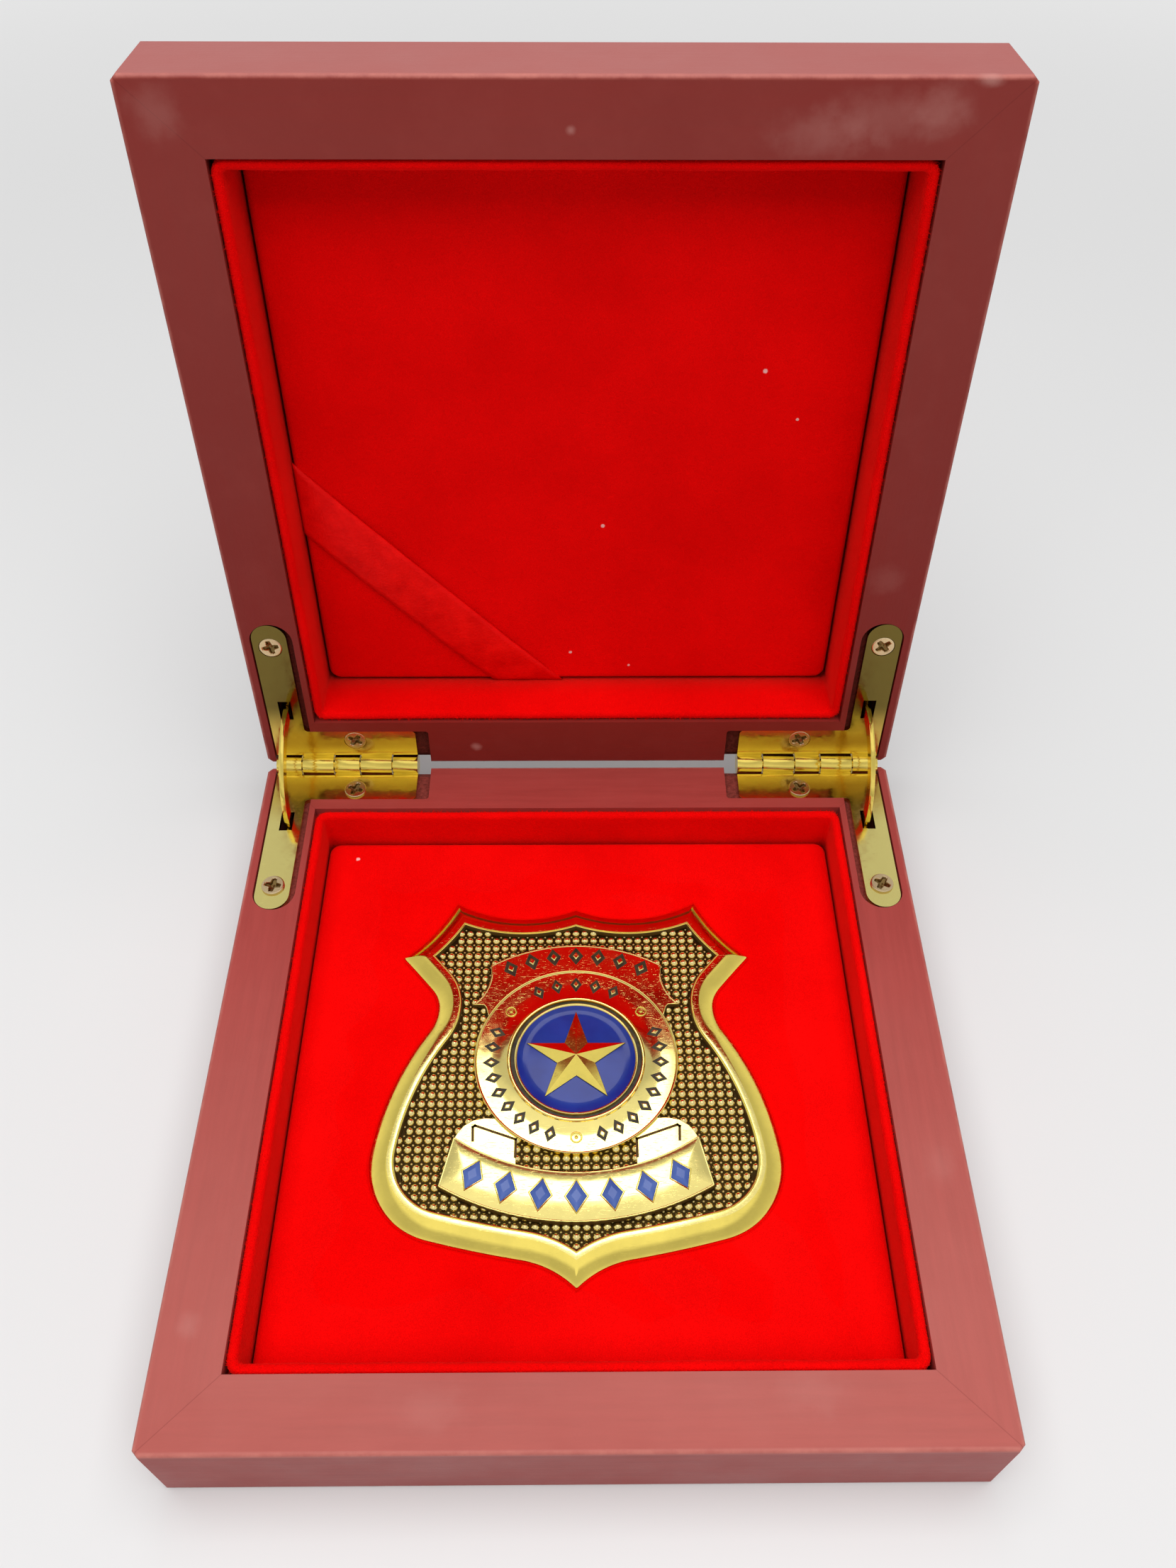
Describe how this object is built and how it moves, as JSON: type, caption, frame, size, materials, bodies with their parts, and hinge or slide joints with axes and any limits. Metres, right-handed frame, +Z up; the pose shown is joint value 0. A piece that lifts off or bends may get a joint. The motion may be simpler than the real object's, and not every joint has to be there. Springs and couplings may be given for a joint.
{
  "type": "badge display case",
  "caption": "Square wooden display case with a hinged lid on curved stays, velvet lining and ribbon, holding a gilt shield badge with a star.",
  "frame": {"origin": "centre of the underside of the base", "axes": "+Z up, -Y towards the front of the base, where the lid's free edge comes down, +Y towards the hinges"},
  "size_m": [0.12, 0.148, 0.14],
  "materials": {
    "painted_wood": "matte paint",
    "velvet": "velvet",
    "ribbon": "satin ribbon",
    "gold_plate": "polished gold plate",
    "enamel": "glossy enamel"
  },
  "bodies": {
    "base": {"base_front_rail": "painted_wood", "base_rear_rail": "painted_wood", "base_left_rail": "painted_wood", "base_right_rail": "painted_wood", "base_bottom_panel": "painted_wood", "base_lining_band": "velvet", "base_pad": "velvet", "left_base_leaf": "gold_plate", "right_base_leaf": "gold_plate", "left_hinge_pin": "gold_plate", "base_hinge_screws": "gold_plate"},
    "lid": {"lid_front_rail": "painted_wood", "lid_rear_rail": "painted_wood", "lid_left_rail": "painted_wood", "lid_right_rail": "painted_wood", "lid_top_panel": "painted_wood", "lid_lining_band": "velvet", "lid_pad": "velvet", "lid_ribbon": "ribbon", "left_lid_leaf": "gold_plate", "right_lid_leaf": "gold_plate", "right_hinge_pin": "gold_plate", "lid_hinge_screws": "gold_plate"},
    "left_stay": {"left_stay": "gold_plate"},
    "right_stay": {"right_stay": "gold_plate"},
    "badge": {"badge_shield": "gold_plate", "badge_enamel_disc": "enamel", "badge_banner_enamel": "enamel"}
  },
  "joints": [
    {"name": "lid_hinge", "type": "hinge", "parent": "base", "child": "lid", "pos_m": [0, 0.0614, 0.01815], "axis": [1, 0, 0], "range_deg": [0, 95]},
    {"name": "left_stay_turn", "type": "hinge", "parent": "base", "child": "left_stay", "pos_m": [0, 0.0614, 0.01815], "axis": [1, 0, 0], "range_deg": [0, 57]},
    {"name": "right_stay_turn", "type": "hinge", "parent": "base", "child": "right_stay", "pos_m": [0, 0.0614, 0.01815], "axis": [1, 0, 0], "range_deg": [0, 57]},
    {"name": "badge_lift", "type": "slide", "parent": "base", "child": "badge", "axis": [0, 0, 1], "range_m": [0, 0.01]}
  ],
  "couplings": [
    {"joint": "left_stay_turn", "follows": "lid_hinge", "ratio": 0.6},
    {"joint": "right_stay_turn", "follows": "lid_hinge", "ratio": 0.6}
  ]
}
